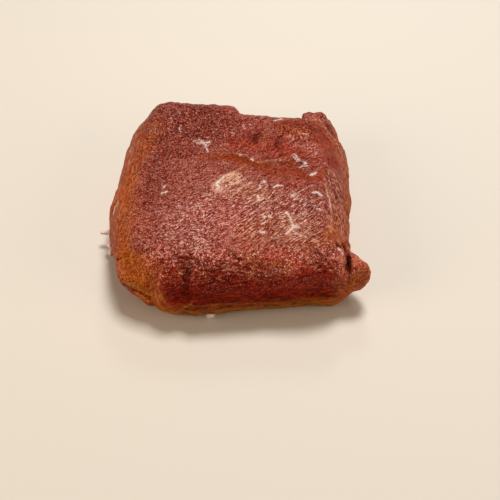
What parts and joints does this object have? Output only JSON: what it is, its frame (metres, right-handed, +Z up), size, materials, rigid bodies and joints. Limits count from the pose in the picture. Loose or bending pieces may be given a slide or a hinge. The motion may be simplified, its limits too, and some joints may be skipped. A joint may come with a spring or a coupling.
{
  "type": "raw ostrich meat block",
  "caption": "Uncut block of raw red meat, pressed nearly square, with a flat resting face, a seam across the upper side and a small flap at one corner.",
  "frame": {"origin": "middle of the bounding box in plan, on the flat resting face", "axes": "+Z up from the resting face, +X along the longest side to the right, +Y away from the face seen at the front of the picture"},
  "size_m": [0.1424, 0.138, 0.0443],
  "materials": {
    "raw_meat": "moist raw red meat with fine grain, pale connective marks and a dull sheen"
  },
  "bodies": {
    "root": {"meat_block": "raw_meat"}
  },
  "joints": []
}
